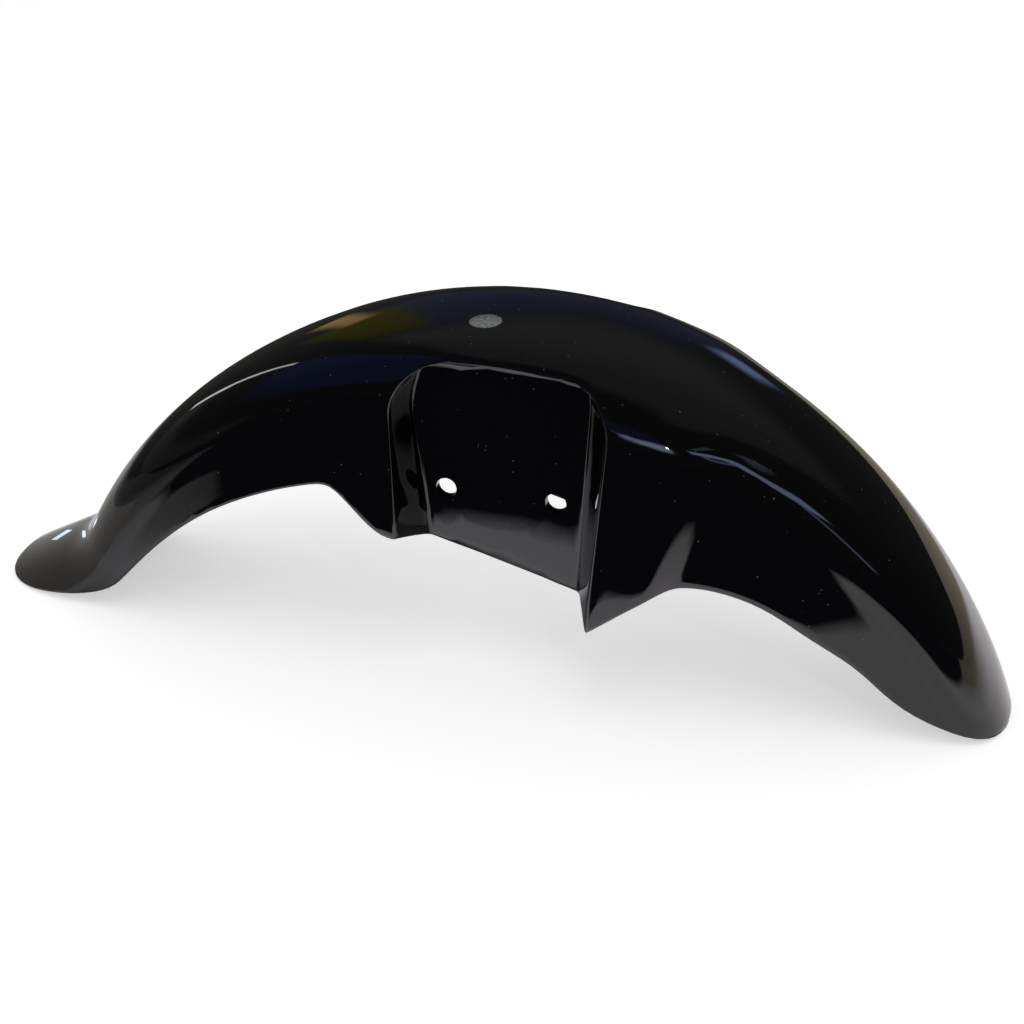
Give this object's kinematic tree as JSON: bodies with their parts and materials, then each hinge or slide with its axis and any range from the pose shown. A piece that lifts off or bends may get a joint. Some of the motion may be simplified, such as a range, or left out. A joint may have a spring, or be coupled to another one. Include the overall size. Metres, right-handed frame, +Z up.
{
  "type": "motorcycle front mudguard",
  "caption": "Front mudguard of a road motorcycle: a curved glossy shell with a flared tail, a rounded nose and a recess with bolt holes for each fork leg.",
  "frame": {"origin": "middle of the length, on the centre plane, level with the lowest point of the rims that the part stands on", "axes": "+X towards the nose and the front of the motorcycle, +Y towards its left side, +Z up"},
  "size_m": [0.6854, 0.1838, 0.2266],
  "materials": {
    "gloss_black": "high gloss"
  },
  "bodies": {
    "root": {"mudguard": "gloss_black"}
  },
  "joints": []
}
